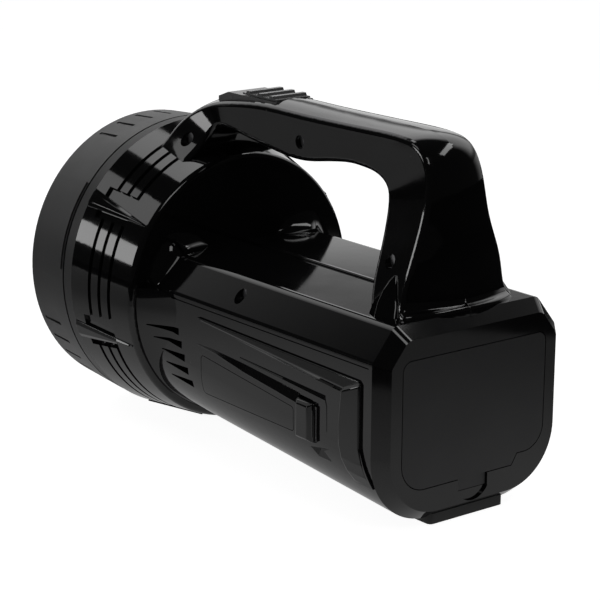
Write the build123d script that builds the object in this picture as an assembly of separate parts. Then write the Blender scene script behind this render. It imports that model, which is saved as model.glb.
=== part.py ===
from build123d import *
import os
from math import sqrt

# A rechargeable hand searchlight, in millimetres. The beam points along +X.
# Every piece is drawn with x from the rear face, z from the lamp axis and y to
# the left, and is set on its floor in the middle of its length when it is saved.

# Whole searchlight
torch_length = 228.0
axis_height = 67.5
wall = 2.5
overrun = 6.0
seat_gap = 0.3

# Battery body of the housing
body_half_width = 49.0
body_top = 17.3
body_floor = -65.6
body_front = 158.5
body_floor_rise = 12.8
shoulder_half_width = 38.2
shoulder_foot = 4.0
shoulder_round = 4.0
shoulder_foot_round = 3.0
keel_round = 30.0
bevel_depth = 6.0
bevel_inset = 5.0
line_depth = 0.5
line_width = 0.8
line_drop = 2.2
line_rear = 8.0
bead_radius = 1.3
bead_proud = 1.0
bead_rear = 28.0
bead_front = 156.0

# Lamp head of the housing
drum_rear = 154.5
drum_rear_radius = 60.2
drum_rear_drop = 4.2
drum_front = 190.7
drum_front_radius = 67.35
drum_edge_round = 2.5
cheek_rear = 122.0
cheek_rear_radius = 47.0
cheek_front_radius = 59.0
cheek_hollow = 3.0
neck_front = 212.3
neck_radius = 61.0
neck_bore = 58.8
neck_shoulder = 3.0

# Ribbed band and wedge bars on the drum
band_rear = 167.0
band_front = 184.6
band_depth = 1.6
rib_count = 3
rib_gap = 1.8
rib_end_margin_deg = 6.5
wedge_angles_deg = (-18.0, 34.0, 146.0, 198.0, 250.0, 290.0)
wedge_width = 8.6
wedge_tip_width = 0.8
wedge_tip = 157.0
wedge_front = 190.2
wedge_proud = 0.4

# Vent slots on both cheeks
vent_count = 5
vent_pitch = 5.4
vent_top = -12.6
vent_rear = 134.5
vent_step_back = 2.2
vent_length = 16.5
vent_height = 3.2
vent_tip_height = 0.5
vent_lean = 0.6
vent_reach = 34.0

# Handle
handle_span = 190.0
grip_top = 86.4
grip_half_width = 13.2
handle_round = 2.5
handle_crown = 3.0
handle_bulge = 1.0
handle_edge_least = 170.0
# Each row is a slice across the handle, from the rear leg over the grip to the
# front leg: outer point and finger point as shares of the span and of the grip's
# height, then the half widths there as shares of the grip's.
handle_slice_shares = (
    (0.030, 0.07, 0.155, 0.07, 2.40, 2.55),
    (0.036, 0.23, 0.170, 0.23, 2.13, 2.20),
    (0.041, 0.39, 0.187, 0.39, 1.87, 1.76),
    (0.046, 0.53, 0.198, 0.53, 1.55, 1.36),
    (0.051, 0.66, 0.208, 0.66, 1.28, 1.08),
    (0.060, 0.82, 0.222, 0.735, 1.11, 1.01),
    (0.094, 0.950, 0.255, 0.775, 1.05, 1.00),
    (0.170, 0.995, 0.300, 0.790, 1.00, 1.00),
    (0.260, 1.000, 0.345, 0.793, 1.00, 1.00),
    (0.385, 1.000, 0.430, 0.770, 1.00, 1.00),
    (0.520, 1.000, 0.520, 0.745, 1.00, 1.00),
    (0.658, 1.000, 0.650, 0.770, 1.00, 1.00),
    (0.780, 0.974, 0.765, 0.806, 1.00, 1.00),
    (0.862, 0.932, 0.818, 0.800, 1.00, 1.04),
    (0.920, 0.870, 0.840, 0.740, 1.20, 1.25),
    (0.960, 0.780, 0.853, 0.660, 1.60, 1.65),
    (0.985, 0.690, 0.862, 0.560, 2.05, 2.10),
)

# Housing screws, driven from the left: x, z and the y of the surface they enter
screw_places = ((27.0, 36.5, 23.0), (97.0, 72.2, 13.2), (168.5, 62.8, 20.0), (97.4, 10.5, 43.0))
screw_sink = 4.0
screw_head_radius = 2.7
screw_head_height = 1.8
screw_shank_radius = 1.4
screw_bite = 8.0
screw_clearance = 0.2
screw_boss_wall = 1.4

# Slide switch on the grip
switch_rear = 117.3
switch_length = 41.0
switch_ramp = 7.0
switch_ramp_drop = 2.6
switch_half_width = 10.0
switch_plate_height = 4.8
switch_seat = 80.6
switch_ledge_width = 2.4
switch_ledge_height = 2.5
slider_rear = 118.0
slider_length = 24.0
slider_half_width = 9.0
slider_plate = 0.7
slider_travel = 10.0
ridge_count = 3
ridge_pitch = 8.0
ridge_width = 4.2
ridge_top_width = 2.2
ridge_height = 1.1
stem_length = 6.0
stem_half_width = 1.8
stem_drop = 8.4
module_half_width = 6.0
module_depth = 9.0

# Rear door, its hooks, its pad and its latch tongue
door_half_width = 38.0
door_top = 3.8
door_bottom = -49.9
door_gap = 0.4
door_plate = 2.2
door_top_round = 4.0
door_left_round = 12.0
door_right_round = 10.0
door_kink_width = 24.0
door_kink_height = 4.6
door_kink_run = 3.0
hook_offset = 24.0
hook_width = 10.0
hook_radius = 4.2
hook_thickness = 1.8
hook_low_deg = -70.0
hook_high_deg = 45.0
latch_half_width = 7.5
latch_drop = 5.3
latch_setback = 0.9
scoop_half_width = 8.2
scoop_height = 4.8
scoop_depth = 1.2
pad_width = 36.0
pad_height = 26.0

# Battery, its bay and the bulkhead in front of it
battery_half_width = 32.0
battery_top = 0.5
battery_bottom = -41.5
battery_rear = 7.0
battery_length = 100.0
battery_round = 2.0
bay_rib_count = 4
bay_rib_thickness = 2.0
bay_rib_rear = 18.0
bay_rib_front = 98.0
contact_gap = 3.0
contact_offset = 18.0
contact_width = 6.0
contact_height = 14.0
contact_top = -6.0
bulkhead_thickness = 2.0
cable_hole_radius = 6.0
cable_hole_drop = 9.0
board_width = 56.0
board_height = 38.0
board_thickness = 1.6
board_standoff = 4.0
standoff_radius = 2.5
board_top = -4.0
capacitor_radius = 5.0
capacitor_length = 14.0

# Reflector, lamp and lens
reflector_radius = 57.0
reflector_focus = 17.0
reflector_skin = 1.5
reflector_flange = 60.4
reflector_hole = 9.0
reflector_steps = 6
collar_wall = 2.5
collar_length = 8.0
socket_flange_radius = 13.2
socket_flange_length = 4.0
lamp_base_radius = 5.2
lamp_base_length = 11.0
lamp_glass_radius = 4.4
lamp_glass_length = 15.0
clip_length = 1.5
clip_width = 2.2
lens_thickness = 3.2
lens_seat_gap = 0.1
gasket_thickness = 1.0

# Bezel and its bayonet
bezel_gap = 0.3
bezel_pad_height = 0.6
bezel_rim_radius = 65.0
bezel_rear_radius = 66.6
bezel_strip = 7.5
bezel_groove_width = 1.1
bezel_groove_depth = 0.8
bezel_rim_round = 1.4
bezel_lip = 1.8
bezel_aperture = 57.5
bezel_mouth = 62.0
bezel_pad_deg = 35.0
bezel_pad_start_deg = 4.0
bezel_pad_margin = 2.5
bezel_sector_count = 3
bezel_sector_deg = 120.0
notch_count = 5
notch_pitch_deg = 9.0
notch_start_deg = 63.0
notch_rear = 209.0
notch_length = 14.0
notch_width = 1.6
notch_depth = 0.8
twist_deg = 25.0
lug_start_deg = 10.0
lug_deg = 10.0
lug_play_deg = 1.0
lug_rear = 197.0
lug_length = 3.0
lug_height = 1.9
lug_gap = 0.3

# Raised rail, grooves, block and blank plate on the flanks
relief = 0.9
rail_front = 119.6
rail_front_z = -2.6
rail_rear_z = -4.3
rail_front_height = 1.6
rail_rear_height = 5.4
rail_post_rear = 11.8
rail_post_front = 21.0
rail_post_bottom = -47.5
rail_post_bend = 5.5
rail_post_knee = -32.0
groove_depth = 1.0
upper_groove_front = (90.6, -13.2)
upper_groove_rear = (34.0, -15.6)
lower_groove_front = (87.0, -16.9)
lower_groove_rear = (42.0, -19.6)
groove_tip_height = 0.5
groove_rear_height = 2.2
block_rear = 38.6
block_length = 11.0
block_top = -21.5
block_height = 14.6
block_step = 1.6
block_height_out = 1.8
plate_rear = 54.8
plate_front = 118.0
plate_rear_top = -26.0
plate_front_top = -19.0
plate_bottom = -36.0
plate_round = 1.5
plate_thickness = 0.5
plate_gap = 0.3

# Foot under the tail
foot_rear = 3.0
foot_length = 13.0
foot_half_width = 20.0
foot_round = 2.0


def inset_corners(corners, inset):
    # A closed outline, given anticlockwise, with every side moved in.
    moved = []
    for index, corner in enumerate(corners):
        before = Vector(*corners[index - 1])
        here = Vector(*corner)
        after = Vector(*corners[(index + 1) % len(corners)])
        side_in = (here - before).normalized().rotate(Axis.Z, 90)
        side_out = (after - here).normalized().rotate(Axis.Z, 90)
        moved.append(here + (side_in + side_out) * (inset / (1 + side_in.dot(side_out))))
    return moved


def body_slice(x, inset):
    # Cross-section of the battery body at x, with its flat shoulders.
    floor = body_floor + body_floor_rise * x / body_front
    corners = (
        (-body_half_width, floor),
        (body_half_width, floor),
        (body_half_width, shoulder_foot),
        (shoulder_half_width, body_top),
        (-shoulder_half_width, body_top),
        (-body_half_width, shoulder_foot),
    )
    face = make_face(Polyline(*inset_corners(corners, inset), close=True))
    levels = face.vertices().group_by(Axis.Y)
    face = fillet(levels[0], keel_round - inset)
    levels = face.vertices().group_by(Axis.Y)
    face = fillet(levels[-1], shoulder_round)
    corners = face.vertices().sort_by(lambda v: abs(v.Y - shoulder_foot) - abs(v.X))[:2]
    face = fillet(corners, shoulder_foot_round)
    return Plane.YZ.offset(x) * face


def body_block():
    bevel = loft([body_slice(0, bevel_inset), body_slice(bevel_depth, 0)], ruled=True)
    barrel = loft([body_slice(bevel_depth, 0), body_slice(body_front, 0)], ruled=True)
    return bevel + barrel


def body_cavity():
    inner_bevel = bevel_depth + wall / 2
    bevel = loft([body_slice(wall, bevel_inset + wall / 2), body_slice(inner_bevel, wall)], ruled=True)
    bay = loft([body_slice(inner_bevel, wall), body_slice(body_front, wall)], ruled=True)
    return bevel + bay


def turned(outline):
    # A closed half outline (x, radius) spun round the lamp axis.
    return revolve(make_face(outline), axis=Axis.X)


def drum_slice(x, inset):
    # Cross-section of the drum at x: it narrows and sinks towards the rear.
    share = (drum_front - x) / (drum_front - drum_rear)
    radius = drum_front_radius - (drum_front_radius - drum_rear_radius) * share - inset
    return Plane.YZ.offset(x) * Pos(0, -drum_rear_drop * share) * Circle(radius)


def drum_plug(rear, front, inset):
    return loft([drum_slice(rear, inset), drum_slice(front, inset)], ruled=True)


def drum_sector(start_deg, sweep_deg):
    # A slice of pie round the lamp axis, longer and wider than the drum.
    reach = drum_front_radius + overrun
    outline = Polyline(
        (body_front / 2, 0),
        (neck_front, 0),
        (neck_front, reach),
        (body_front / 2, reach),
        close=True,
    )
    pie = revolve(make_face(outline), axis=Axis.X, revolution_arc=sweep_deg)
    return Rot(start_deg, 0, 0) * pie


def head_block():
    drum = drum_plug(drum_rear, drum_front, 0)
    rear_rim = drum.edges().sort_by(Axis.X)[0]
    drum = fillet(rear_rim, drum_edge_round)
    neck = ring(drum_front - overrun, neck_front, 0, neck_radius)
    return drum + neck


def head_cavity():
    # Hollow of the drum behind its front shoulder, and the bore of the neck.
    drum = drum_plug(drum_rear + wall, drum_front - neck_shoulder, wall)
    return drum + ring(drum_front - neck_shoulder - overrun, neck_front + overrun, 0, neck_bore)


def cheek_flare(inset):
    # The swell of the body's lower half into the drum, under its shoulders.
    rear = (cheek_rear, cheek_rear_radius - inset)
    front = (drum_rear + drum_edge_round + inset, cheek_front_radius - inset)
    middle = ((rear[0] + front[0]) / 2, (rear[1] + front[1]) / 2 - cheek_hollow)
    arc = ThreePointArc(rear, middle, front)
    outline = arc + Polyline(front, (front[0], 0), (rear[0], 0), rear)
    swell = Pos(0, 0, -drum_rear_drop) * turned(outline)
    top = shoulder_foot - inset
    height = 2 * drum_front_radius
    return swell & Pos(middle[0], 0, top - height / 2) * Box(body_front, height, height)


def drum_grooves():
    # The sunk band round the drum, less the hoops that stop short of the wedge bars.
    cover = drum_plug(band_rear, band_front, -overrun)
    hoops = []
    pitch = (band_front - band_rear) / rib_count
    for row in range(rib_count):
        rear = band_rear + row * pitch + rib_gap
        front = band_rear + (row + 1) * pitch
        if row == rib_count - 1:
            front = front + rib_gap
        hoops.append(drum_plug(rear, front, -2 * overrun) - drum_plug(rear, front, band_depth + wall))
    gaps = [drum_sector(angle - rib_end_margin_deg, 2 * rib_end_margin_deg) for angle in wedge_angles_deg]
    band = cover - drum_plug(band_rear, band_front, band_depth)
    return band - [hoop - gaps for hoop in hoops]


def wedge_bars():
    # Flat-topped bars, broad at the bezel and pointed at the drum's rear edge.
    bars = []
    for angle in wedge_angles_deg:
        front = wedge_slice(wedge_front, wedge_width, angle)
        rear = wedge_slice(wedge_tip, wedge_tip_width, angle)
        bars.append(loft([rear, front], ruled=True))
    return bars


def wedge_slice(x, width, angle):
    # A bar's section at x, from inside the drum's wall to just proud of it.
    share = (drum_front - x) / (drum_front - drum_rear)
    crest = drum_front_radius - (drum_front_radius - drum_rear_radius) * share
    height = band_depth + wall / 2
    turn = Location((0, 0), angle - 90)
    middle = Pos(0, crest + wedge_proud - height / 2)
    return Plane.YZ.offset(x) * Pos(0, -drum_rear_drop * share) * turn * middle * Rectangle(width, height)


def handle_slice(row, inset):
    # One slice across the handle, square to its run: flat sides under a crown.
    outer_x, outer_z, finger_x, finger_z, outer_width, finger_width = row
    outer = Vector(outer_x * handle_span, 0, outer_z * grip_top)
    finger = Vector(finger_x * handle_span, 0, finger_z * grip_top)
    across = (outer - finger).normalized()
    depth = (outer - finger).length - 2 * inset
    ridge = outer_width * grip_half_width - inset
    edge = finger_width * grip_half_width - inset
    rim = depth - handle_crown * outer_width
    place = Plane(origin=finger + across * inset, x_dir=(0, 1, 0), z_dir=Vector(0, 1, 0).cross(across))
    sides = (
        Line((edge, 0), (ridge, rim)),
        ThreePointArc((ridge, rim), (0, depth), (-ridge, rim)),
        Line((-ridge, rim), (-edge, 0)),
        ThreePointArc((-edge, 0), (0, -handle_bulge), (edge, 0)),
    )
    return Face(Wire([(place * side).edge() for side in sides]))


def handle_block():
    bar = loft([handle_slice(row, 0) for row in handle_slice_shares])
    long_edges = bar.edges().filter_by(lambda edge: edge.length > handle_edge_least)
    return fillet(long_edges, handle_round)


def handle_core():
    return loft([handle_slice(row, wall) for row in handle_slice_shares])


def cross_rod(x, z, radius, y_low, y_high):
    # A rod along y.
    return Pos(x, (y_high + y_low) / 2, z) * Rot(90, 0, 0) * Cylinder(radius, y_high - y_low)


def screw_holes():
    # Counterbore and clearance from the left, pilot hole in the right half.
    holes = []
    for x, z, y in screw_places:
        seat = y - screw_sink
        holes.append(cross_rod(x, z, screw_head_radius + screw_clearance, seat, y + overrun))
        holes.append(cross_rod(x, z, screw_shank_radius + screw_clearance, 0, seat))
        holes.append(cross_rod(x, z, screw_shank_radius, -screw_bite, 0))
    return holes


def housing_screw(x, z, y):
    seat = y - screw_sink
    head = cross_rod(x, z, screw_head_radius, seat, seat + screw_head_height)
    return head + cross_rod(x, z, screw_shank_radius, -screw_bite, seat)


def boss_rods():
    # Posts that join the halves: each spans the cavity from cheek to cheek.
    radius = screw_head_radius + screw_clearance + screw_boss_wall
    return [cross_rod(x, z, radius, -y - overrun, y + overrun) for x, z, y in screw_places]


def battery_envelope(gap):
    return Pos(
        battery_rear + battery_length / 2, 0, (battery_top + battery_bottom) / 2
    ) * Box(
        battery_length + 2 * gap,
        2 * (battery_half_width + gap),
        battery_top - battery_bottom + 2 * gap,
    )


def bay_ribs():
    # Frames that cradle the battery all round, left open where it slides in.
    pitch = (bay_rib_front - bay_rib_rear) / (bay_rib_count - 1)
    height = body_top - body_floor
    frames = []
    for index in range(bay_rib_count):
        place = Pos(bay_rib_rear + index * pitch, 0, body_top - height / 2)
        frame = place * Box(bay_rib_thickness, 2 * body_half_width, height)
        frames.append(frame - battery_envelope(seat_gap))
    return frames


def switch_ledges():
    # Two rails inside the grip that the switch plate sits on.
    height = switch_ledge_height
    reach = grip_half_width - switch_half_width + switch_ledge_width
    place = Pos(switch_rear + switch_length / 2, 0, switch_seat - height / 2)
    rails = place * Box(switch_length + 2 * wall, 2 * grip_half_width, height)
    return rails - place * Box(switch_length + 2 * overrun, 2 * (grip_half_width - reach), 2 * height)


def switch_pocket():
    length = switch_length + 2 * seat_gap
    height = grip_top - switch_seat + overrun
    place = Pos(switch_rear + switch_length / 2, 0, switch_seat + height / 2)
    return place * Box(length, 2 * (switch_half_width + seat_gap), height)


def vent_slots():
    # Tapered slots through both cheeks, pointed towards the drum.
    slots = []
    for index in range(vent_count):
        rear = vent_rear - index * vent_step_back
        rear_z = vent_top - index * vent_pitch
        tip = rear + vent_length
        tip_z = rear_z + vent_lean
        outline = Polyline(
            (rear, rear_z - vent_height / 2),
            (tip, tip_z - vent_tip_height / 2),
            (tip, tip_z + vent_tip_height / 2),
            (rear, rear_z + vent_height / 2),
            close=True,
        )
        slots.append(flank_prism(make_face(outline), drum_front_radius, vent_reach))
    return slots


def flank_prism(face, outer, inner):
    # A side view pushed out along +Y, from inner to outer.
    return Pos(0, inner, 0) * extrude(Plane.XZ * face, inner - outer)


def body_skin(outer_inset, inner_inset):
    # The layer of the body's flanks between two depths under its surface.
    outer = loft([body_slice(bevel_depth, outer_inset), body_slice(body_front, outer_inset)], ruled=True)
    inner = loft([body_slice(0, inner_inset), body_slice(body_front + overrun, inner_inset)], ruled=True)
    return outer - inner


def taper(front, rear, front_height, rear_height):
    # A long wedge in side view, its top edge running from front to rear.
    return make_face(
        Polyline(
            front,
            rear,
            (rear[0], rear[1] - rear_height),
            (front[0], front[1] - front_height),
            close=True,
        )
    )


def rail_face():
    # The long raised rail and the post that it turns down into.
    post_width = rail_post_front - rail_post_rear
    return make_face(
        Polyline(
            (rail_front, rail_front_z),
            (rail_post_rear + rail_front_height, rail_rear_z),
            (rail_post_rear, rail_rear_z - rail_front_height),
            (rail_post_rear, rail_post_knee),
            (rail_post_rear - rail_post_bend, rail_post_bottom),
            (rail_post_rear - rail_post_bend + post_width, rail_post_bottom),
            (rail_post_front, rail_post_knee),
            (rail_post_front, rail_rear_z - rail_rear_height),
            (rail_front, rail_front_z - rail_front_height),
            close=True,
        )
    )


def plate_face(grow):
    corners = (
        (plate_rear, plate_bottom),
        (plate_front, plate_bottom),
        (plate_front, plate_front_top),
        (plate_rear, plate_rear_top),
    )
    face = make_face(Polyline(*inset_corners(corners, -grow), close=True))
    return fillet(face.vertices(), plate_round + grow)


def flank_prisms(face):
    prism = flank_prism(face, body_half_width + overrun, vent_reach)
    return [prism, mirror(prism, about=Plane.XZ)]


def side_plate():
    prism = flank_prism(plate_face(0), body_half_width + overrun, vent_reach)
    return prism & body_skin(0, plate_thickness)


def add_flank_relief(block):
    raised = body_skin(-relief, wall)
    for prism in flank_prisms(rail_face()):
        block = block + (prism & raised)
    sunk = body_skin(-wall, groove_depth)
    upper = taper(upper_groove_front, upper_groove_rear, groove_tip_height, groove_rear_height)
    lower = taper(lower_groove_front, lower_groove_rear, groove_tip_height, groove_rear_height)
    for face in (upper, lower):
        for prism in flank_prisms(face):
            block = block - (prism & sunk)
    recess = flank_prism(plate_face(plate_gap), body_half_width + overrun, vent_reach)
    block = block - (recess & body_skin(-wall, plate_thickness))
    return block + block_pad()


def block_pad():
    # The stepped raised block behind the plate.
    centre = Pos(block_rear + block_length / 2, block_top - block_height / 2)
    foot = flank_prism(centre * Rectangle(block_length, block_height), body_half_width + overrun, vent_reach)
    top = flank_prism(
        centre * Rectangle(block_length - 2 * block_step, block_height - 2 * block_step),
        body_half_width + overrun,
        vent_reach,
    )
    return (foot & body_skin(-relief, wall)) + (top & body_skin(-block_height_out, wall))


def door_face(grow):
    # The door as seen from ahead, its right lower corner cut higher.
    kink = -door_kink_width
    corners = (
        (-door_half_width, door_top),
        (-door_half_width, door_bottom + door_kink_height),
        (kink, door_bottom + door_kink_height),
        (kink + door_kink_run, door_bottom),
        (door_half_width, door_bottom),
        (door_half_width, door_top),
    )
    face = make_face(Polyline(*inset_corners(corners, -grow), close=True))
    top = face.vertices().group_by(Axis.Y)[-1]
    face = fillet(top, door_top_round + grow)
    left = face.vertices().sort_by_distance((door_half_width, door_bottom))[0]
    face = fillet(left, door_left_round + grow)
    right = face.vertices().sort_by_distance((-door_half_width, door_bottom + door_kink_height))[0]
    face = fillet(right, door_right_round + grow)
    return Plane.YZ * face


def door_opening():
    # The doorway through the rear wall, with the notch for the latch tongue.
    doorway = Pos(-overrun, 0, 0) * extrude(door_face(door_gap), wall + 2 * overrun)
    depth = latch_drop + door_gap + door_kink_height
    notch = Pos(0, 0, door_bottom + door_kink_height - depth / 2) * Box(
        2 * (wall + overrun), 2 * (latch_half_width + door_gap), depth
    )
    return doorway + notch


def thumb_scoop():
    # A half-moon under the latch for a thumb nail.
    top = door_bottom - latch_drop - door_gap
    chord = Line((-scoop_half_width, top), (scoop_half_width, top))
    arc = ThreePointArc((scoop_half_width, top), (0, top - scoop_height), (-scoop_half_width, top))
    return extrude(Plane.YZ * make_face(chord + arc), scoop_depth)


def seam_lines():
    # The fine step line under each shoulder.
    length = body_front - line_rear
    centre_z = shoulder_foot - line_drop
    place = Pos(line_rear + length / 2, body_half_width, centre_z)
    line = place * Box(length, 2 * line_depth, line_width)
    return [line, mirror(line, about=Plane.XZ)]


def parting_bead():
    # The rounded bead along the top where the two halves meet.
    middle = (bead_rear + bead_front) / 2
    place = Pos(middle, 0, body_top + bead_proud - bead_radius) * Rot(0, 90, 0)
    return place * Cylinder(bead_radius, bead_front - bead_rear)


def bayonet_sector(start_deg, sweep_deg, rear, front, inner, outer):
    outline = Polyline((rear, inner), (front, inner), (front, outer), (rear, outer), close=True)
    sector = revolve(make_face(outline), axis=Axis.X, revolution_arc=sweep_deg)
    return Rot(start_deg, 0, 0) * sector


def neck_lugs():
    lugs = []
    for index in range(bezel_sector_count):
        centre = lug_start_deg + index * bezel_sector_deg
        lugs.append(
            bayonet_sector(
                centre - lug_deg / 2,
                lug_deg,
                lug_rear,
                lug_rear + lug_length,
                (neck_radius + neck_bore) / 2,
                neck_radius + lug_height,
            )
        )
    return lugs


def housing():
    # The moulded housing in one, before it is parted into two halves.
    block = add_flank_relief(body_block()) + cheek_flare(0) + parting_bead() + head_block()
    block = block - drum_grooves()
    block = block + wedge_bars()
    block = block + handle_block()
    block = block + neck_lugs()
    cavity = body_cavity() + cheek_flare(wall) + head_cavity() + handle_core()
    cavity = cavity - boss_rods() - bay_ribs() - switch_ledges()
    shell = block - cavity
    shell = shell - vent_slots() - [mirror(slot, about=Plane.XZ) for slot in vent_slots()]
    shell = shell - door_opening() - thumb_scoop() - seam_lines() - switch_pocket()
    return shell - screw_holes()


def half(shell, side):
    # The left half for side 1, the right half for side -1.
    reach = 2 * drum_front_radius
    return shell & Pos(torch_length / 2, side * reach / 2, 0) * Box(2 * torch_length, reach, 2 * reach)


def rear_door():
    plate = extrude(door_face(0), door_plate)
    tongue_height = latch_drop + door_kink_height + door_plate
    tongue_thickness = door_plate - latch_setback
    tongue = Pos(
        latch_setback + tongue_thickness / 2, 0, door_bottom - latch_drop + tongue_height / 2
    ) * Box(tongue_thickness, 2 * latch_half_width, tongue_height)
    door = plate + tongue
    for side in (-1, 1):
        door = door + Pos(0, side * hook_offset, door_top) * door_hook()
    return door


def door_hook():
    # A hook curled round the pivot line at the door's top edge.
    outline = Polyline(
        (hook_radius, -hook_width / 2),
        (hook_radius + hook_thickness, -hook_width / 2),
        (hook_radius + hook_thickness, hook_width / 2),
        (hook_radius, hook_width / 2),
        close=True,
    )
    sweep = hook_high_deg - hook_low_deg
    curl = revolve(make_face(outline), axis=Axis.Y, revolution_arc=sweep)
    return Rot(0, -hook_high_deg, 0) * curl


def door_pad():
    depth = battery_rear - door_plate - seat_gap
    centre = (battery_top + battery_bottom) / 2
    return Pos(door_plate + depth / 2, 0, centre) * Box(depth, pad_width, pad_height)


def battery():
    block = battery_envelope(0)
    return fillet(block.edges().filter_by(Axis.X), battery_round)


def battery_front():
    return battery_rear + battery_length


def battery_contact(side):
    # A bent spring strip between the battery's front face and the bulkhead.
    rear = battery_front()
    arc = ThreePointArc(
        (rear + contact_gap, contact_top),
        (rear, contact_top - contact_height / 2),
        (rear + contact_gap, contact_top - contact_height),
    )
    strip = make_face(arc + Line(arc @ 1, arc @ 0))
    centre = side * contact_offset
    return Pos(0, centre + contact_width / 2, 0) * extrude(Plane.XZ * strip, contact_width)


def bulkhead():
    # The wall between battery bay and lamp, with posts for the charger board.
    rear = battery_front() + contact_gap
    plate = extrude(body_slice(rear, wall + seat_gap), bulkhead_thickness)
    hole = Pos(rear, 0, body_top - cable_hole_drop) * Rot(0, 90, 0) * Cylinder(cable_hole_radius, wall * 2)
    plate = plate - hole
    for y, z in board_post_places():
        post = Pos(rear + bulkhead_thickness + board_standoff / 2, y, z) * Rot(0, 90, 0)
        plate = plate + post * Cylinder(standoff_radius, board_standoff)
    return plate


def board_post_places():
    reach = board_width / 2 - 2 * standoff_radius
    low = board_top - board_height + 2 * standoff_radius
    high = board_top - 2 * standoff_radius
    return [(side * reach, z) for side in (-1, 1) for z in (low, high)]


def board_rear():
    return battery_front() + contact_gap + bulkhead_thickness + board_standoff


def charger_board():
    return Pos(board_rear() + board_thickness / 2, 0, board_top - board_height / 2) * Box(
        board_thickness, board_width, board_height
    )


def charger_capacitor():
    place = Pos(board_rear() + board_thickness + capacitor_length / 2, 0, board_top - board_height / 2)
    return place * Rot(0, 90, 0) * Cylinder(capacitor_radius, capacitor_length)


def reflector_rim():
    return neck_front + reflector_skin


def reflector_bottom():
    return reflector_rim() - reflector_radius**2 / (4 * reflector_focus)


def dish_point(radius, skin):
    # A point on the paraboloid, or skin behind it.
    slope = radius / (2 * reflector_focus)
    length = sqrt(1 + slope**2)
    x = reflector_bottom() + radius**2 / (4 * reflector_focus)
    return (x - skin / length, radius + skin * slope / length)


def reflector():
    step = (reflector_radius - reflector_hole) / reflector_steps
    radii = [reflector_hole + index * step for index in range(reflector_steps + 1)]
    inner = Spline(*[dish_point(radius, 0) for radius in radii])
    outer = Spline(*[dish_point(radius, reflector_skin) for radius in reversed(radii)])
    rim_x = reflector_rim()
    collar_radius = reflector_hole + collar_wall
    collar_x = dish_point(reflector_hole, 0)[0] - collar_length
    flange = Polyline(
        inner @ 1,
        (rim_x, reflector_flange),
        (rim_x - reflector_skin, reflector_flange),
        (rim_x - reflector_skin, (outer @ 0).Y),
        outer @ 0,
    )
    dish = revolve(make_face(inner + flange + outer + Line(outer @ 1, inner @ 0)), axis=Axis.X)
    collar = Polyline(
        (collar_x, reflector_hole),
        (dish_point(reflector_hole, 0)[0], reflector_hole),
        dish_point(collar_radius, reflector_skin / 2),
        (collar_x, collar_radius),
        close=True,
    )
    return dish + turned(collar)


def collar_rear():
    return dish_point(reflector_hole, 0)[0] - collar_length


def lamp_socket():
    # A flanged plug in the reflector's collar, bored for the lamp's base.
    rear = collar_rear() - socket_flange_length
    outline = Polyline(
        (rear, lamp_base_radius),
        (rear, socket_flange_radius),
        (collar_rear(), socket_flange_radius),
        (collar_rear(), reflector_hole),
        (collar_rear() + collar_length, reflector_hole),
        (collar_rear() + collar_length, lamp_base_radius),
        close=True,
    )
    return turned(outline)


def lamp_base_front():
    return collar_rear() + lamp_base_length


def lamp_base():
    place = Pos(lamp_base_front() - lamp_base_length / 2, 0, 0) * Rot(0, 90, 0)
    return place * Cylinder(lamp_base_radius, lamp_base_length)


def lamp_glass():
    front = lamp_base_front() + lamp_glass_length
    shoulder = front - lamp_glass_radius
    arc = CenterArc((shoulder, 0), lamp_glass_radius, 0, 90)
    outline = arc + Polyline(
        (shoulder, lamp_glass_radius),
        (lamp_base_front(), lamp_glass_radius),
        (lamp_base_front(), 0),
        (front, 0),
    )
    return turned(outline)


def bezel_radius():
    return axis_height - bezel_pad_height


def bezel_rear():
    return drum_front + bezel_gap


def bezel_bore():
    return neck_radius + bezel_gap


def lip_rear():
    return clip_rear() + clip_length + lens_thickness + gasket_thickness


def clip_rear():
    return reflector_rim() + seat_gap


def bezel_outer_radius(x):
    # Straight taper of the bezel's skin from its groove to its rim.
    start = bezel_rear() + bezel_strip
    return bezel_radius() - (bezel_radius() - bezel_rim_radius) * (x - start) / (torch_length - start)


def front_bezel():
    groove = bezel_rear() + bezel_strip
    outline = Polyline(
        (bezel_rear(), bezel_bore()),
        (bezel_rear(), bezel_rear_radius),
        (groove - bezel_groove_width, bezel_radius()),
        (groove - bezel_groove_width, bezel_radius() - bezel_groove_depth),
        (groove, bezel_radius() - bezel_groove_depth),
        (groove, bezel_radius()),
        (torch_length, bezel_rim_radius),
        (torch_length, bezel_mouth),
        (lip_rear() + bezel_lip, bezel_aperture),
        (lip_rear(), bezel_aperture),
        (lip_rear(), bezel_bore()),
        close=True,
    )
    face = make_face(outline)
    rim = face.vertices().sort_by_distance((torch_length, bezel_rim_radius))[0]
    band = revolve(fillet(rim, bezel_rim_round), axis=Axis.X)
    for index in range(bezel_sector_count):
        turn = Rot(index * bezel_sector_deg, 0, 0)
        band = band + turn * bezel_pad()
    for index in range(bezel_sector_count):
        turn = Rot(index * bezel_sector_deg, 0, 0)
        band = band - [turn * notch for notch in grip_notches()] - [turn * track for track in lug_tracks()]
    return band


def bezel_pad():
    rear = bezel_rear() + bezel_strip + bezel_groove_width
    front = torch_length - bezel_pad_margin
    outline = Polyline(
        (rear, bezel_bore() + bezel_pad_height),
        (front, bezel_mouth + bezel_pad_height),
        (front, bezel_outer_radius(front) + bezel_pad_height),
        (rear, axis_height),
        close=True,
    )
    pad = revolve(make_face(outline), axis=Axis.X, revolution_arc=bezel_pad_deg)
    return Rot(bezel_pad_start_deg, 0, 0) * pad


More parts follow.
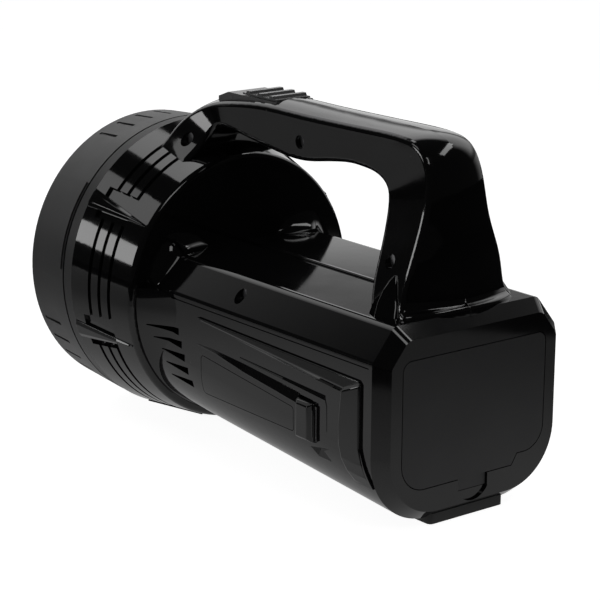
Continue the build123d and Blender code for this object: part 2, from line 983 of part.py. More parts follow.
def grip_notches():
    notches = []
    for index in range(notch_count):
        angle = notch_start_deg + index * notch_pitch_deg
        top = bezel_outer_radius(notch_rear + notch_length / 2)
        place = Rot(angle - 90, 0, 0) * Pos(notch_rear + notch_length / 2, 0, top)
        notches.append(place * Box(notch_length, notch_width, 2 * notch_depth))
    return notches


def lug_tracks():
    # An L-shaped way in the bore: in from the rear, then round to the lock.
    reach_deg = lug_deg + 2 * lug_play_deg
    entry_deg = lug_start_deg - twist_deg - reach_deg / 2
    inner = (neck_radius + neck_bore) / 2
    outer = neck_radius + lug_height + lug_gap
    front = lug_rear + lug_length + lug_gap
    entry = bayonet_sector(entry_deg, reach_deg, bezel_rear() - overrun, front, inner, outer)
    turn = bayonet_sector(entry_deg, twist_deg + reach_deg, lug_rear - lug_gap, front, inner, outer)
    return [entry, turn]


def ring(rear, front, inner, outer):
    return turned(Polyline((rear, inner), (front, inner), (front, outer), (rear, outer), close=True))


def lens():
    rear = clip_rear() + clip_length
    return Pos(rear + lens_thickness / 2, 0, 0) * Rot(0, 90, 0) * Cylinder(
        bezel_bore() - lens_seat_gap, lens_thickness
    )


def lens_gasket():
    return ring(lip_rear() - gasket_thickness, lip_rear(), bezel_aperture, bezel_bore() - lens_seat_gap)


def lens_clip():
    outer = bezel_bore() - lens_seat_gap
    return ring(clip_rear(), clip_rear() + clip_length, outer - clip_width, outer)


def switch_plate():
    # The frame that the slider runs on, ramped down at its front end.
    top = switch_seat + switch_plate_height
    front = switch_rear + switch_length
    outline = Polyline(
        (switch_rear, switch_seat),
        (front, switch_seat),
        (front, top - switch_ramp_drop),
        (front - switch_ramp, top),
        (switch_rear, top),
        close=True,
    )
    plate = Pos(0, switch_half_width, 0) * extrude(Plane.XZ * make_face(outline), 2 * switch_half_width)
    return plate - stem_slot(switch_plate_height + overrun)


def stem_middle():
    return slider_rear + slider_length / 2


def stem_slot(depth):
    # The slot that the stem runs in, open for the whole travel.
    length = stem_length + slider_travel + 2 * seat_gap
    place = Pos(stem_middle() + slider_travel / 2, 0, switch_seat)
    return place * Box(length, 2 * (stem_half_width + seat_gap), 2 * depth)


def switch_slider():
    base_z = switch_seat + switch_plate_height + seat_gap
    middle = stem_middle()
    base = Pos(middle, 0, base_z + slider_plate / 2) * Box(slider_length, 2 * slider_half_width, slider_plate)
    slider = base
    for index in range(ridge_count):
        x = middle + (index - (ridge_count - 1) / 2) * ridge_pitch
        outline = Polyline(
            (x - ridge_width / 2, base_z),
            (x + ridge_width / 2, base_z),
            (x + ridge_top_width / 2, base_z + slider_plate + ridge_height),
            (x - ridge_top_width / 2, base_z + slider_plate + ridge_height),
            close=True,
        )
        ridge = extrude(Plane.XZ * make_face(outline), 2 * slider_half_width)
        slider = slider + Pos(0, slider_half_width, 0) * ridge
    stem = Pos(middle, 0, base_z + slider_plate / 2 - stem_drop / 2) * Box(
        stem_length, 2 * stem_half_width, stem_drop
    )
    return slider + stem


def switch_module():
    length = stem_length + slider_travel + 2 * wall + 2 * seat_gap
    place = Pos(stem_middle() + slider_travel / 2, 0, switch_seat - module_depth / 2)
    case = place * Box(length, 2 * module_half_width, module_depth)
    return case - stem_slot(stem_drop)


def foot():
    top = body_floor + wall
    bottom = -axis_height
    place = Pos(foot_rear + foot_length / 2, 0, (top + bottom) / 2)
    pad = place * Box(foot_length, 2 * foot_half_width, top - bottom)
    pad = fillet(pad.edges().filter_by(Axis.Z), foot_round)
    return pad - body_block()


def save(shape, name):
    placed = Pos(-torch_length / 2, 0, axis_height) * shape
    export_step(placed, "parts/" + name + ".step")
    print(name, "%.0f" % placed.volume, len(placed.solids()))


os.makedirs("parts", exist_ok=True)
shell = housing()
save(half(shell, 1), "left_shell")
save(half(shell, -1), "right_shell")
for index, (x, z, y) in enumerate(screw_places):
    save(housing_screw(x, z, y), "shell_screw_" + str(index + 1))
save(side_plate(), "side_plate")
save(foot(), "foot")
save(rear_door(), "rear_door")
save(door_pad(), "door_pad")
save(battery(), "battery")
save(battery_contact(1), "battery_contact_1")
save(battery_contact(-1), "battery_contact_2")
save(bulkhead(), "bulkhead")
save(charger_board(), "charger_board")
save(charger_capacitor(), "charger_capacitor")
save(reflector(), "reflector")
save(lamp_socket(), "lamp_socket")
save(lamp_base(), "lamp_base")
save(lamp_glass(), "lamp_glass")
save(front_bezel(), "front_bezel")
save(lens(), "lens")
save(lens_gasket(), "lens_gasket")
save(lens_clip(), "lens_clip")
save(switch_plate(), "switch_plate")
save(switch_module(), "switch_module")
save(switch_slider(), "switch_slider")
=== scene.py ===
import bmesh
import bpy
from math import cos, pi, radians, sin, sqrt
from mathutils import Matrix, Vector


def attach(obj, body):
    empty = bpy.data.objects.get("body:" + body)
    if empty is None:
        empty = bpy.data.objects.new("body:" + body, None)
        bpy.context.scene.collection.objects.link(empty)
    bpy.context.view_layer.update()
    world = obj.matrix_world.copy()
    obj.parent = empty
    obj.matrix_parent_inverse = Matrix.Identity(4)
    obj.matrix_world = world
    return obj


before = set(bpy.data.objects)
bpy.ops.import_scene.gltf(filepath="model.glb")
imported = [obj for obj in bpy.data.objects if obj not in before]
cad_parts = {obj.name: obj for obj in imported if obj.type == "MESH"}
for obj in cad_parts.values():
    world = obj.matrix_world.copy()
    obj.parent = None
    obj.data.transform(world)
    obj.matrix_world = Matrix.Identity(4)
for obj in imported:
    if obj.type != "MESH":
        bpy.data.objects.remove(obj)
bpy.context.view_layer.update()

scene = bpy.context.scene
scene.view_settings.view_transform = "Standard"
axisHeight = 0.0675  # lamp axis above the floor in metres, as in the CAD

# Node trees


def addNode(tree, kind, **settings):
    node = tree.nodes.new(kind)
    for key, value in settings.items():
        setattr(node, key, value)
    return node


def feed(node, values):
    for key, value in values.items():
        node.inputs[key].default_value = value


def addMath(tree, operation, first, second):
    # A math node fed by two sockets or numbers; returns its output socket.
    node = addNode(tree, "ShaderNodeMath", operation=operation)
    for socket, value in zip(node.inputs, (first, second)):
        if isinstance(value, float):
            socket.default_value = value
        else:
            tree.links.new(value, socket)
    return node.outputs["Value"]


def addFade(tree, value, levels):
    # A smooth step from one level to another; returns its output socket.
    node = addNode(tree, "ShaderNodeMapRange", interpolation_type="SMOOTHSTEP")
    feed(node, levels)
    tree.links.new(value, node.inputs["Value"])
    return node.outputs["Result"]


def addCameraLevel(tree, others, level):
    # One level to the camera and the other to all other rays; returns its output socket.
    path = addNode(tree, "ShaderNodeLightPath")
    mix = addNode(tree, "ShaderNodeMix", data_type="FLOAT")
    mix.inputs["B"].default_value = level
    tree.links.new(path.outputs["Is Camera Ray"], mix.inputs["Factor"])
    tree.links.new(others, mix.inputs["A"])
    return mix.outputs["Result"]


def makeGroup(name, inputs, outputs):
    # A shader group with named float inputs; outputs are (name, socket kind) pairs.
    tree = bpy.data.node_groups.new(name, "ShaderNodeTree")
    for label, value in inputs.items():
        socket = tree.interface.new_socket(name=label, in_out="INPUT", socket_type="NodeSocketFloat")
        socket.default_value = value
    for label, kind in outputs:
        tree.interface.new_socket(name=label, in_out="OUTPUT", socket_type="NodeSocket" + kind)
    return tree, addNode(tree, "NodeGroupInput"), addNode(tree, "NodeGroupOutput")


def makeGrainGroup():
    # Moulded skin: a fine bump, and a slow drift of the roughness.
    tree, inside, outside = makeGroup(
        "mouldedSkin",
        {
            "Grain Scale": 900.0, "Grain Height": 0.1, "Drift Scale": 30.0,
            "Roughness Low": 0.1, "Roughness High": 0.2,
        },
        (("Normal", "Vector"), ("Roughness", "Float")),
    )
    link = tree.links.new
    place = addNode(tree, "ShaderNodeTexCoord")
    grain = addNode(tree, "ShaderNodeTexNoise")
    feed(grain, {"Detail": 3.0, "Roughness": 0.6})
    drift = addNode(tree, "ShaderNodeTexNoise")
    feed(drift, {"Detail": 4.0, "Roughness": 0.55})
    bump = addNode(tree, "ShaderNodeBump")
    feed(bump, {"Distance": 0.0001})
    spread = addNode(tree, "ShaderNodeMapRange")
    feed(spread, {"From Min": 0.3, "From Max": 0.7})
    link(place.outputs["Object"], grain.inputs["Vector"])
    link(place.outputs["Object"], drift.inputs["Vector"])
    link(inside.outputs["Grain Scale"], grain.inputs["Scale"])
    link(inside.outputs["Drift Scale"], drift.inputs["Scale"])
    link(grain.outputs["Fac"], bump.inputs["Height"])
    link(inside.outputs["Grain Height"], bump.inputs["Strength"])
    link(drift.outputs["Fac"], spread.inputs["Value"])
    link(inside.outputs["Roughness Low"], spread.inputs["To Min"])
    link(inside.outputs["Roughness High"], spread.inputs["To Max"])
    link(bump.outputs["Normal"], outside.inputs["Normal"])
    link(spread.outputs["Result"], outside.inputs["Roughness"])
    return tree


def makeDustGroup():
    # Sparse specks of dust: one dot in some of the cells of a cell pattern.
    tree, inside, outside = makeGroup(
        "dustSpecks",
        {"Cell Scale": 300.0, "Speck Size": 0.12, "Share Kept": 0.1},
        (("Mask", "Float"),),
    )
    link = tree.links.new
    place = addNode(tree, "ShaderNodeTexCoord")
    cells = addNode(tree, "ShaderNodeTexVoronoi")
    pick = addNode(tree, "ShaderNodeSeparateColor")
    link(place.outputs["Object"], cells.inputs["Vector"])
    link(inside.outputs["Cell Scale"], cells.inputs["Scale"])
    link(cells.outputs["Color"], pick.inputs["Color"])
    kept = addMath(tree, "LESS_THAN", pick.outputs["Red"], inside.outputs["Share Kept"])
    dot = addMath(tree, "LESS_THAN", cells.outputs["Distance"], inside.outputs["Speck Size"])
    link(addMath(tree, "MULTIPLY", kept, dot), outside.inputs["Mask"])
    return tree


grainGroup = makeGrainGroup()
dustGroup = makeDustGroup()


def makeMaterial(name, settings, grain, dust=None):
    # A Principled material with the moulded skin, and dust on the outer plastics.
    material = bpy.data.materials.new(name)
    material.use_nodes = True
    tree = material.node_tree
    link = tree.links.new
    shader = tree.nodes["Principled BSDF"]
    feed(shader, settings)
    skin = addNode(tree, "ShaderNodeGroup", node_tree=grainGroup)
    feed(skin, grain)
    link(skin.outputs["Normal"], shader.inputs["Normal"])
    link(skin.outputs["Roughness"], shader.inputs["Roughness"])
    if dust:
        specks = addNode(tree, "ShaderNodeGroup", node_tree=dustGroup)
        feed(specks, dust["pattern"])
        mix = addNode(tree, "ShaderNodeMix", data_type="RGBA")
        mix.inputs["A"].default_value = settings["Base Color"]
        mix.inputs["B"].default_value = dust["colour"]
        link(specks.outputs["Mask"], mix.inputs["Factor"])
        link(mix.outputs["Result"], shader.inputs["Base Color"])
    return material


lightDust = {
    "pattern": {"Cell Scale": 170.0, "Speck Size": 0.035, "Share Kept": 0.10},
    "colour": (0.16, 0.16, 0.15, 1),
}

glossBlack = makeMaterial(
    "glossBlack",
    {"Base Color": (0.004, 0.004, 0.0043, 1), "IOR": 1.53},
    {"Grain Scale": 220.0, "Grain Height": 0.03, "Roughness Low": 0.05, "Roughness High": 0.09},
    lightDust,
)
matteBlack = makeMaterial(
    "matteBlack",
    {"Base Color": (0.021, 0.021, 0.022, 1), "IOR": 1.5},
    {"Grain Scale": 2600.0, "Grain Height": 0.25, "Roughness Low": 0.40, "Roughness High": 0.50},
    lightDust,
)
# Switch plastic: a dark grey, lighter than the other black plastics, partly its own colour and partly
# painted sheen for the light caught on its ridges
switchBlack = makeMaterial(
    "switchBlack",
    {"Base Color": (0.11, 0.11, 0.111, 1), "IOR": 1.5},
    {"Grain Scale": 1800.0, "Grain Height": 0.2, "Roughness Low": 0.22, "Roughness High": 0.34},
    lightDust,
)
rubberBlack = makeMaterial(
    "rubberBlack",
    {"Base Color": (0.024, 0.024, 0.024, 1)},
    {"Grain Scale": 1500.0, "Grain Height": 0.3, "Roughness Low": 0.6, "Roughness High": 0.75},
)
mirrorDish = makeMaterial(
    "mirrorDish",
    {"Base Color": (0.88, 0.88, 0.89, 1), "Metallic": 1.0},
    {"Grain Scale": 120.0, "Grain Height": 0.04, "Roughness Low": 0.03, "Roughness High": 0.07},
)
clearLens = makeMaterial(
    "clearLens",
    {"Base Color": (1, 1, 1, 1), "Transmission Weight": 1.0, "IOR": 1.49},
    {"Grain Scale": 90.0, "Grain Height": 0.01, "Roughness Low": 0.0, "Roughness High": 0.02},
)
lampGlass = makeMaterial(
    "lampGlass",
    {"Base Color": (1, 1, 1, 1), "Transmission Weight": 1.0, "IOR": 1.46},
    {"Grain Scale": 60.0, "Grain Height": 0.02, "Roughness Low": 0.0, "Roughness High": 0.03},
)
steel = makeMaterial(
    "steel",
    {"Base Color": (0.35, 0.35, 0.36, 1), "Metallic": 1.0},
    {"Grain Scale": 1200.0, "Grain Height": 0.1, "Roughness Low": 0.25, "Roughness High": 0.4},
)
brass = makeMaterial(
    "brass",
    {"Base Color": (0.68, 0.45, 0.18, 1), "Metallic": 1.0},
    {"Grain Scale": 900.0, "Grain Height": 0.1, "Roughness Low": 0.2, "Roughness High": 0.38},
)
batteryCase = makeMaterial(
    "batteryCase",
    {"Base Color": (0.05, 0.05, 0.055, 1)},
    {"Grain Scale": 1400.0, "Grain Height": 0.25, "Roughness Low": 0.45, "Roughness High": 0.6},
)
circuitBoard = makeMaterial(
    "circuitBoard",
    {"Base Color": (0.02, 0.13, 0.06, 1)},
    {"Grain Scale": 2000.0, "Grain Height": 0.3, "Roughness Low": 0.3, "Roughness High": 0.45},
)
capacitorSleeve = makeMaterial(
    "capacitorSleeve",
    {"Base Color": (0.02, 0.03, 0.10, 1)},
    {"Grain Scale": 300.0, "Grain Height": 0.05, "Roughness Low": 0.25, "Roughness High": 0.35},
)
ceramic = makeMaterial(
    "ceramic",
    {"Base Color": (0.75, 0.73, 0.68, 1)},
    {"Grain Scale": 900.0, "Grain Height": 0.15, "Roughness Low": 0.5, "Roughness High": 0.65},
)

nodeMaterials = {
    "left_shell": glossBlack,
    "right_shell": glossBlack,
    "side_plate": glossBlack,
    "front_bezel": matteBlack,
    "rear_door": matteBlack,
    "foot": rubberBlack,
    "switch_plate": switchBlack,
    "switch_slider": switchBlack,
    "switch_module": switchBlack,
    "door_pad": rubberBlack,
    "battery": batteryCase,
    "battery_contact_1": brass,
    "battery_contact_2": brass,
    "bulkhead": matteBlack,
    "charger_board": circuitBoard,
    "charger_capacitor": capacitorSleeve,
    "reflector": mirrorDish,
    "lamp_socket": ceramic,
    "lamp_base": steel,
    "lamp_glass": lampGlass,
    "lens": clearLens,
    "lens_gasket": rubberBlack,
    "lens_clip": matteBlack,
    "shell_screw_1": steel,
    "shell_screw_2": steel,
    "shell_screw_3": steel,
    "shell_screw_4": steel,
}
for nodeName, material in nodeMaterials.items():
    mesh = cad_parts[nodeName].data
    mesh.materials.clear()
    mesh.materials.append(material)
print("materials on", len(nodeMaterials), "nodes")

# Pieces over the housing, drawn in the part's own millimetres: x from the tail, z from the lamp axis

# The body's section and the drum's cone and fall, as in the CAD
bodyShape = {"halfWidth": 49.0, "floor": -65.6, "floorRise": 0.0808, "keelRound": 30.0}
drumShape = {"front": 190.7, "frontRadius": 67.35, "length": 36.2, "taper": 7.15, "drop": 4.2}
tailX = -0.114  # the tail's rear face in the frame, in metres
perMetre = 1000  # millimetres
edgeSegments = 3  # steps round each softened corner


def framePoint(x, y, z):
    return Vector((tailX + x / perMetre, y / perMetre, axisHeight + z / perMetre))


def flankY(x, z):
    # Half width of the body at a height: upright, then rounded in to the keel.
    keel = bodyShape["keelRound"]
    turnZ = bodyShape["floor"] + bodyShape["floorRise"] * x + keel
    drop = max(0.0, turnZ - z)
    return bodyShape["halfWidth"] - keel + sqrt(keel ** 2 - drop ** 2)


def makeSolid(name, rings, edge, smoothAngle):
    # A closed solid through rings of points, its corners softened and its gentle turns shaded smooth.
    shape = bmesh.new()
    grid = [[shape.verts.new(point) for point in ring] for ring in rings]
    for low, high in zip(grid, grid[1:]):
        for index in range(len(low)):
            after = (index + 1) % len(low)
            shape.faces.new((low[index], low[after], high[after], high[index]))
    shape.faces.new(list(reversed(grid[0])))
    shape.faces.new(grid[-1])
    bmesh.ops.recalc_face_normals(shape, faces=shape.faces)
    mesh = bpy.data.meshes.new(name)
    shape.to_mesh(mesh)
    shape.free()
    mesh.materials.append(glossBlack)
    for polygon in mesh.polygons:
        polygon.use_smooth = True
    mesh.set_sharp_from_angle(angle=radians(smoothAngle))
    piece = bpy.data.objects.new(name, mesh)
    scene.collection.objects.link(piece)
    if edge:
        soften = piece.modifiers.new("edges", "BEVEL")
        soften.width = edge / perMetre
        soften.segments = edgeSegments
        soften.limit_method = "ANGLE"
        soften.angle_limit = radians(smoothAngle)
    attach(piece, "housing")


# Concave flare of each shoulder into the drum's rear face, from the middle to the flank
flare = {
    "drumRear": 154.4,
    "stations": (  # y, z, way out in y and z, radius
        (19.0, 17.3, 0.0, 1.0, 0.8),
        (21.5, 17.3, 0.0, 1.0, 3.6),
        (25.0, 17.3, 0.0, 1.0, 6.6),
        (30.0, 17.3, 0.0, 1.0, 8.8),
        (35.0, 17.3, 0.0, 1.0, 9.7),
        (37.3, 17.3, 0.08, 1.0, 9.8),
        (38.3, 17.0, 0.40, 0.92, 9.8),
        (39.4, 15.8, 0.68, 0.73, 9.4),
        (41.5, 13.2, 0.77, 0.64, 8.6),
        (44.5, 9.5, 0.78, 0.63, 7.4),
        (47.4, 6.0, 0.80, 0.60, 6.0),
        (48.8, 4.0, 0.92, 0.39, 4.4),
        (49.0, 1.0, 1.0, 0.0, 2.4),
        (49.0, -3.0, 1.0, 0.0, 0.6),
    ),
    "turns": 14,
    "sink": 0.15,  # how deep its thin edges lie in the walls
    "backing": 1.0,
    "smoothAngle": 35,
}


def makeFlares():
    for side, name in ((1, "leftFlare"), (-1, "rightFlare")):
        rings = []
        for y, z, outY, outZ, radius in flare["stations"]:
            ring = []
            for turn in range(flare["turns"] + 1):
                angle = radians(90 * turn / flare["turns"])
                off = radius * (1 - cos(angle)) - flare["sink"]
                x = flare["drumRear"] - radius * (1 - sin(angle)) + flare["sink"]
                ring.append(framePoint(x, side * (y + outY * off), z + outZ * off))
            back = flare["backing"]
            ring.append(framePoint(flare["drumRear"] + back, side * (y - outY * back), z - outZ * back))
            rings.append(ring)
        makeSolid(name, rings, 0.0, flare["smoothAngle"])


# Raised forms on both flanks: rows of points with x, z and height over the wall
flankForms = {
    "rail": {
        "rows": (
            ((119.6, -2.6, 0.95), (117.5, -3.6, 1.0), (116.0, -4.6, -0.2)),
            ((92.8, -3.1, 0.95), (93.4, -4.9, 1.1), (93.8, -6.5, -0.2)),
            ((66.1, -3.5, 0.95), (69.3, -6.3, 1.25), (71.5, -8.4, -0.2)),
            ((39.4, -4.0, 0.95), (45.2, -7.7, 1.4), (48.3, -10.2, -0.2)),
            ((12.6, -4.4, 0.95), (21.0, -9.0, 1.5), (25.5, -12.0, -0.2)),
        ),
        "edge": 0.35,
    },
    "post": {
        "rows": (
            ((12.2, -5.0, 0.90), (21.0, -7.8, 0.90), (24.4, -9.2, -0.2)),
            ((12.2, -6.6, 1.45), (21.3, -10.2, 2.9), (24.8, -11.6, -0.2)),
            ((12.2, -24.0, 1.45), (22.9, -24.0, 2.9), (25.2, -24.0, -0.2)),
            ((12.0, -32.0, 1.40), (22.8, -32.0, 2.7), (25.0, -32.0, -0.2)),
            ((10.4, -38.0, 1.20), (21.8, -38.0, 2.2), (24.0, -38.0, -0.2)),
            ((8.9, -43.0, 1.05), (19.8, -43.0, 1.7), (22.6, -43.0, -0.2)),
            ((7.4, -47.0, 0.90), (17.2, -47.0, 1.1), (19.8, -47.0, -0.2)),
        ),
        "edge": 0.45,
    },
    "plateLeaf": {
        "rows": (
            ((121.0, -14.3, 0.03), (121.0, -15.0, 0.10), (121.0, -15.2, -0.3)),
            ((108.0, -14.4, 0.03), (108.0, -15.9, 0.30), (108.0, -16.3, -0.3)),
            ((87.0, -15.5, 0.03), (87.0, -19.0, 0.85), (87.0, -19.6, -0.3)),
            ((65.0, -17.3, 0.03), (65.0, -21.4, 1.10), (65.0, -22.1, -0.3)),
            ((50.5, -18.4, 0.03), (50.5, -23.0, 1.25), (50.5, -23.7, -0.3)),
        ),
        "edge": 0.15,
    },
    "cornerLeaf": {
        "rows": (
            ((90.6, -13.3, -0.80), (90.6, -13.6, -0.04), (90.6, -13.7, -0.9)),
            ((62.0, -14.5, -0.85), (62.0, -15.7, -0.04), (62.0, -15.8, -0.9)),
            ((34.2, -15.7, -0.85), (34.2, -17.7, -0.04), (34.2, -17.8, -0.9)),
        ),
        "edge": 0.0,
    },
    "cornerBead": {
        "rows": (
            ((34.0, -16.8, 0.02), (34.4, -16.8, 0.22), (34.9, -16.8, -0.2)),
            ((33.0, -20.0, 0.02), (33.4, -20.0, 0.22), (33.9, -20.0, -0.2)),
            ((32.8, -30.5, 0.02), (33.2, -30.5, 0.22), (33.7, -30.5, -0.2)),
        ),
        "edge": 0.05,
    },
    "lowLeaf": {
        "rows": (
            ((44.5, -39.6, 0.02), (44.5, -39.9, 0.05), (44.5, -40.1, -0.3)),
            ((37.4, -38.4, 0.02), (37.4, -41.8, 1.75), (37.4, -42.3, -0.3)),
            ((32.2, -37.6, 0.02), (32.0, -43.0, 0.05), (32.0, -43.5, -0.3)),
        ),
        "edge": 0.1,
    },
}
flankDepth = 1.6  # how deep the forms are rooted in the wall
flankSmoothAngle = 9


def makeFlankForms():
    for formName, form in flankForms.items():
        for side, sideName in ((1, "left"), (-1, "right")):
            rings = []
            for row in form["rows"]:
                outer, inner = row[0], row[-1]
                root = [(inner[0], inner[1], -flankDepth), (outer[0], outer[1], -flankDepth)]
                ring = list(row) + root
                rings.append([framePoint(x, side * (flankY(x, z) + height), z) for x, z, height in ring])
            name = sideName + formName[0].upper() + formName[1:]
            makeSolid(name, rings, form["edge"], flankSmoothAngle)


# The stepped block behind the plate, on the left alone: its foot, shoulder and crown
block = {
    "levels": (  # x from and to, z from and to, height over the wall
        (39.8, 51.2, -37.2, -20.2, -0.6),
        (40.2, 50.8, -36.8, -20.6, 1.6),
        (42.4, 49.4, -35.6, -22.0, 3.0),
    ),
    "edge": 0.4,
    "smoothAngle": 20,
}


def makeBlock():
    rings = []
    for lowX, highX, lowZ, highZ, height in block["levels"]:
        corners = ((lowX, lowZ), (highX, lowZ), (highX, highZ), (lowX, highZ))
        rings.append([framePoint(x, bodyShape["halfWidth"] + height, z) for x, z in corners])
    makeSolid("leftBlock", rings, block["edge"], block["smoothAngle"])


# The sail-shaped gusset at the foot of the rear leg, from its tip down
gusset = {
    "rows": (  # rear edge, crest and front edge, each with x, y and z
        ((20.6, 24.9, 32.8), (21.2, 25.3, 32.6), (22.2, 24.8, 31.9)),
        ((19.1, 26.15, 29.1), (21.7, 27.7, 30.5), (25.0, 25.6, 28.6)),
        ((17.6, 27.4, 24.8), (22.0, 30.4, 27.2), (28.2, 27.0, 24.4)),
        ((16.0, 28.7, 20.9), (22.1, 32.8, 22.7), (29.2, 29.8, 19.9)),
        ((13.8, 31.3, 17.2), (20.4, 36.2, 17.2), (26.5, 34.6, 16.0)),
    ),
    "rootY": 3.0,  # how deep it is rooted in the leg
    "edge": 0.35,
    "smoothAngle": 14,
}


def makeGussets():
    for side, name in ((1, "leftGusset"), (-1, "rightGusset")):
        rings = []
        for row in gusset["rows"]:
            root = [(x, y - gusset["rootY"], z) for x, y, z in (row[-1], row[0])]
            rings.append([framePoint(x, side * y, z) for x, y, z in list(row) + root])
        makeSolid(name, rings, gusset["edge"], gusset["smoothAngle"])


# Ridged caps on four of the drum's wedge bars, from the bezel to the pointed end
barCaps = {
    "angles": (-18.0, 34.0, 146.0, 198.0),
    "stations": (  # x, full width and crown width
        (190.1, 8.4, 4.6),
        (178.0, 5.6, 2.4),
        (166.0, 2.8, 0.8),
        (158.5, 1.0, 0.3),
    ),
    "foot": -0.6,  # heights over the drum's cone
    "low": 0.42,
    "crown": 1.1,
    "edge": 0.25,
    "smoothAngle": 15,
}


def makeBarCaps():
    for number, angle in enumerate(barCaps["angles"], 1):
        turn = radians(angle)
        rings = []
        for x, width, crown in barCaps["stations"]:
            share = (drumShape["front"] - x) / drumShape["length"]
            radius = drumShape["frontRadius"] - drumShape["taper"] * share
            middle = -drumShape["drop"] * share
            flank = (
                (width / 2, barCaps["foot"]),
                (width / 2, barCaps["low"]),
                (crown / 2, barCaps["crown"]),
            )
            profile = [(-across, up) for across, up in flank] + list(reversed(flank))
            ring = []
            for across, up in profile:
                reach = radius + up
                y = reach * cos(turn) - across * sin(turn)
                z = middle + reach * sin(turn) + across * cos(turn)
                ring.append(framePoint(x, y, z))
            rings.append(ring)
        makeSolid("barCap" + str(number), rings, barCaps["edge"], barCaps["smoothAngle"])


# Parting bead of the two halves, from the rear leg down the tail
seam = {
    "points": (  # x and z
        (7.9, 30.0), (7.8, 22.5), (7.2, 20.7), (5.6, 19.65), (4.5, 19.0), (4.05, 17.6),
        (4.02, 15.7), (2.0, 13.97), (0.15, 12.38), (0.12, 11.8), (0.12, 4.3),
    ),
    "halfWidth": 0.22,
    "proud": 0.1,
    "depth": 0.6,
    "smoothAngle": 40,
}


def makeSeam():
    points = seam["points"]
    depth = seam["depth"]
    rings = []
    for index, (x, z) in enumerate(points):
        before, after = points[max(index - 1, 0)], points[min(index + 1, len(points) - 1)]
        way = Vector((after[0] - before[0], after[1] - before[1])).normalized()
        out = Vector((way[1], -way[0]))
        ring = []
        for across, up in ((-1, -depth), (-1, 0.0), (0, seam["proud"]), (1, 0.0), (1, -depth)):
            ring.append(framePoint(x + out[0] * up, across * seam["halfWidth"], z + out[1] * up))
        rings.append(ring)
    makeSolid("tailSeam", rings, 0.0, seam["smoothAngle"])


makeFlares()
makeFlankForms()
makeBlock()
makeGussets()
makeBarCaps()
makeSeam()
print("flares, flank forms, block, gussets, bar caps and seam made")

# Floor, world and lamps

photoView = {
    "azimuth": 231.479,
    "elevation": 15.183,
    "roll": 0.474,
    "distance": 0.95323,
    "aim": (-0.004, 0.0, axisHeight),
    "lens": 132.0,
    "shiftX": -0.00622,
    "shiftY": -0.00371,
}


def viewAxes():
    # The camera's right, up and back.
    turn = radians(photoView["azimuth"])
    rise = radians(photoView["elevation"])
    back = Vector((sin(turn) * cos(rise), -cos(turn) * cos(rise), sin(rise)))
    right = Vector((0, 0, 1)).cross(back).normalized()
    up = back.cross(right)
    roll = radians(photoView["roll"])
    return right * cos(roll) + up * sin(roll), up * cos(roll) - right * sin(roll), back


def flatAxes():
    # Level directions towards the camera and to its right.
    turn = radians(photoView["azimuth"])
    return Vector((sin(turn), -cos(turn), 0)), Vector((cos(turn), sin(turn), 0))


# A wide dark table, and the pale card's reach to the camera's left and right, away from it and towards it
floorSizes = {"half": 6.0, "left": 1.0, "right": 0.34, "away": 0.9, "near": 0.3, "cardLift": 0.0005}
floorRough = 0.9
# Own colour, glow to the camera, and the painted pool of light round the object, a glow that its gloss sees
floorLooks = {
    "darkFloor": {"colour": (0.02, 0.02, 0.02, 1), "camera": 1.0, "paintedPool": 0.0},
    "paleCard": {"colour": (0.4, 0.4, 0.4, 1), "camera": 0.94, "paintedPool": 0.38},
}
# Painted pool of light: the glow is full near the middle and fades to a tenth farther out
paintedPoolReach = {"From Min": 0.10, "From Max": 0.32, "To Min": 1.0, "To Max": 0.1}  # metres from the middle


def floorMaterial(name):
    # White to the camera, with the soft shadow kept; its own colour where the gloss sees it, with a painted
    # pool of light glowing round the object.
    look = floorLooks[name]
    material = bpy.data.materials.new(name)
    material.use_nodes = True
    tree = material.node_tree
    link = tree.links.new
    shader = tree.nodes["Principled BSDF"]
    feed(shader, {"Base Color": look["colour"], "Roughness": floorRough, "Specular IOR Level": 0.0})
    place = addNode(tree, "ShaderNodeTexCoord")
    reach = addNode(tree, "ShaderNodeVectorMath", operation="LENGTH")
    glow = addNode(tree, "ShaderNodeEmission")
    both = addNode(tree, "ShaderNodeAddShader")
    link(place.outputs["Object"], reach.inputs[0])
    fade = addFade(tree, reach.outputs["Value"], paintedPoolReach)
    # painted pool of light, glowing to all rays but the camera's
    paintedPool = addMath(tree, "MULTIPLY", fade, look["paintedPool"])
    link(addCameraLevel(tree, paintedPool, look["camera"]), glow.inputs["Strength"])
    link(shader.outputs["BSDF"], both.inputs[0])
    link(glow.outputs["Emission"], both.inputs[1])
    link(both.outputs["Shader"], tree.nodes["Material Output"].inputs["Surface"])
    return material


def makeSheet(name, corners):
    mesh = bpy.data.meshes.new(name)
    mesh.from_pydata(corners, [], [(0, 1, 2, 3)])
    sheet = bpy.data.objects.new(name, mesh)
    scene.collection.objects.link(sheet)
    mesh.materials.append(floorMaterial(name))


def makeFloor():
    # A dark table with a pale card under the object.
    half, low = floorSizes["half"], -floorSizes["cardLift"]
    makeSheet("darkFloor", [(-half, -half, low), (half, -half, low), (half, half, low), (-half, half, low)])
    near, right = flatAxes()
    front, back = near * floorSizes["near"], -near * floorSizes["away"]
    start, end = right * -floorSizes["left"], right * floorSizes["right"]
    makeSheet("paleCard", [front + start, front + end, back + end, back + start])


# What the gloss sees behind the object: a pale wall, a grey gap and a bright panel
surroundings = {
    "low": 0.02,  # strength on the near side
    "camera": 1.0,  # strength to the camera
    # by the sine of the elevation
    "wallTop": {"From Min": 0.228, "From Max": 0.256, "To Min": 1.0, "To Max": 0.24},
    "panelFoot": {"From Min": 0.28, "From Max": 0.38, "To Min": 0.0, "To Max": 1.0},
    "panelTop": {"From Min": 0.66, "From Max": 0.78, "To Min": 1.0, "To Max": 0.0},
    # by the cosine of the turn from straight behind the object
    "sides": {"From Min": 0.34, "From Max": 0.7},
}


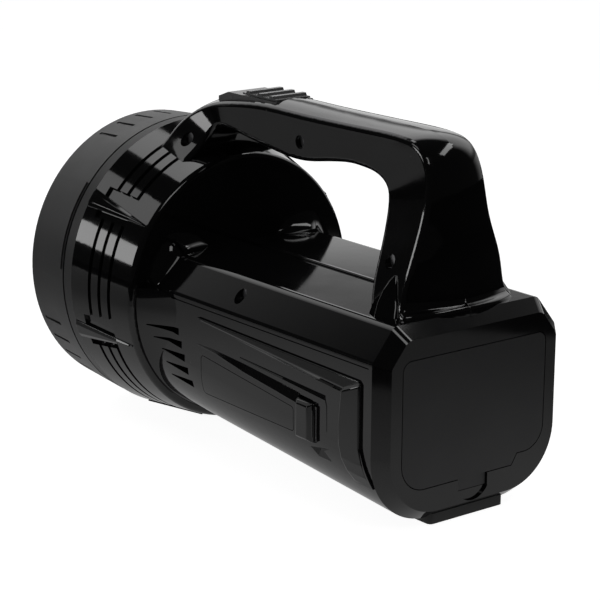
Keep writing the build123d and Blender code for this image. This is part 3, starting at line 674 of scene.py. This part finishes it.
def makeWorld():
    # White to the camera; to the gloss a wall and a panel behind the object, and dark on the near side.
    world = bpy.data.worlds.new("studio")
    scene.world = world
    world.use_nodes = True
    tree = world.node_tree
    link = tree.links.new
    near = flatAxes()[0]
    place = addNode(tree, "ShaderNodeTexCoord")
    flatten = addNode(tree, "ShaderNodeVectorMath", operation="MULTIPLY")
    flatten.inputs[1].default_value = (1, 1, 0)
    heading = addNode(tree, "ShaderNodeVectorMath", operation="NORMALIZE")
    away = addNode(tree, "ShaderNodeVectorMath", operation="DOT_PRODUCT")
    away.inputs[1].default_value = -near
    high = addNode(tree, "ShaderNodeSeparateXYZ")
    link(place.outputs["Generated"], flatten.inputs[0])
    link(flatten.outputs["Vector"], heading.inputs[0])
    link(heading.outputs["Vector"], away.inputs[0])
    link(place.outputs["Generated"], high.inputs["Vector"])
    behind = addFade(tree, away.outputs["Value"], surroundings["sides"])
    wall = addFade(tree, high.outputs["Z"], surroundings["wallTop"])
    panel = addFade(tree, high.outputs["Z"], surroundings["panelFoot"])
    stop = addFade(tree, high.outputs["Z"], surroundings["panelTop"])
    band = addMath(tree, "MULTIPLY", addMath(tree, "ADD", wall, panel), stop)
    lit = addMath(tree, "MULTIPLY", band, behind)
    level = addMath(tree, "ADD", lit, surroundings["low"])
    background = tree.nodes["Background"]
    background.inputs["Color"].default_value = (1, 1, 1, 1)
    link(addCameraLevel(tree, level, surroundings["camera"]), background.inputs["Strength"])


# Softboxes: turn to the camera's right and rise in degrees, distance and size in metres, and brightness
lamps = {
    "leftStrip": {"turn": -80, "rise": 15, "far": 1.2, "size": (0.45, 0.26), "level": 5.0},
    "leftTall": {"turn": -84, "rise": 44, "far": 1.2, "size": (0.4, 0.3), "level": 1.6},
    "headTop": {"turn": -145, "rise": 62, "far": 1.1, "size": (0.45, 0.18), "level": 2.2},
    "rightTop": {"turn": 98, "rise": 53.5, "far": 1.1, "size": (0.8, 0.14), "level": 3.5},
    "frontTop": {"turn": 20, "rise": 46, "far": 1.3, "size": (0.5, 0.32), "level": 2.8},
}
lampAim = Vector((0, 0, 0.1))  # in metres, inside the handle's opening


def makeLamps():
    near, right = flatAxes()
    for name, lamp in lamps.items():
        turn = radians(lamp["turn"])
        rise = radians(lamp["rise"])
        way = (near * cos(turn) + right * sin(turn)) * cos(rise) + Vector((0, 0, sin(rise)))
        data = bpy.data.lights.new(name, "AREA")
        data.shape = "RECTANGLE"
        data.size, data.size_y = lamp["size"]
        data.energy = lamp["level"] * pi * data.size * data.size_y
        light = bpy.data.objects.new(name, data)
        scene.collection.objects.link(light)
        light.location = lampAim + way * lamp["far"]
        light.rotation_euler = (-way).to_track_quat("-Z", "Y").to_euler()


def makeCamera():
    data = bpy.data.cameras.new("photoCamera")
    data.lens = photoView["lens"]
    data.shift_x = photoView["shiftX"]
    data.shift_y = photoView["shiftY"]
    camera = bpy.data.objects.new("photoCamera", data)
    scene.collection.objects.link(camera)
    right, up, back = viewAxes()
    place = Vector(photoView["aim"]) + back * photoView["distance"]
    camera.matrix_world = Matrix.Translation(place) @ Matrix((right, up, back)).transposed().to_4x4()
    scene.camera = camera


makeFloor()
makeWorld()
makeLamps()
makeCamera()
print("floor, world, lamps and camera made")
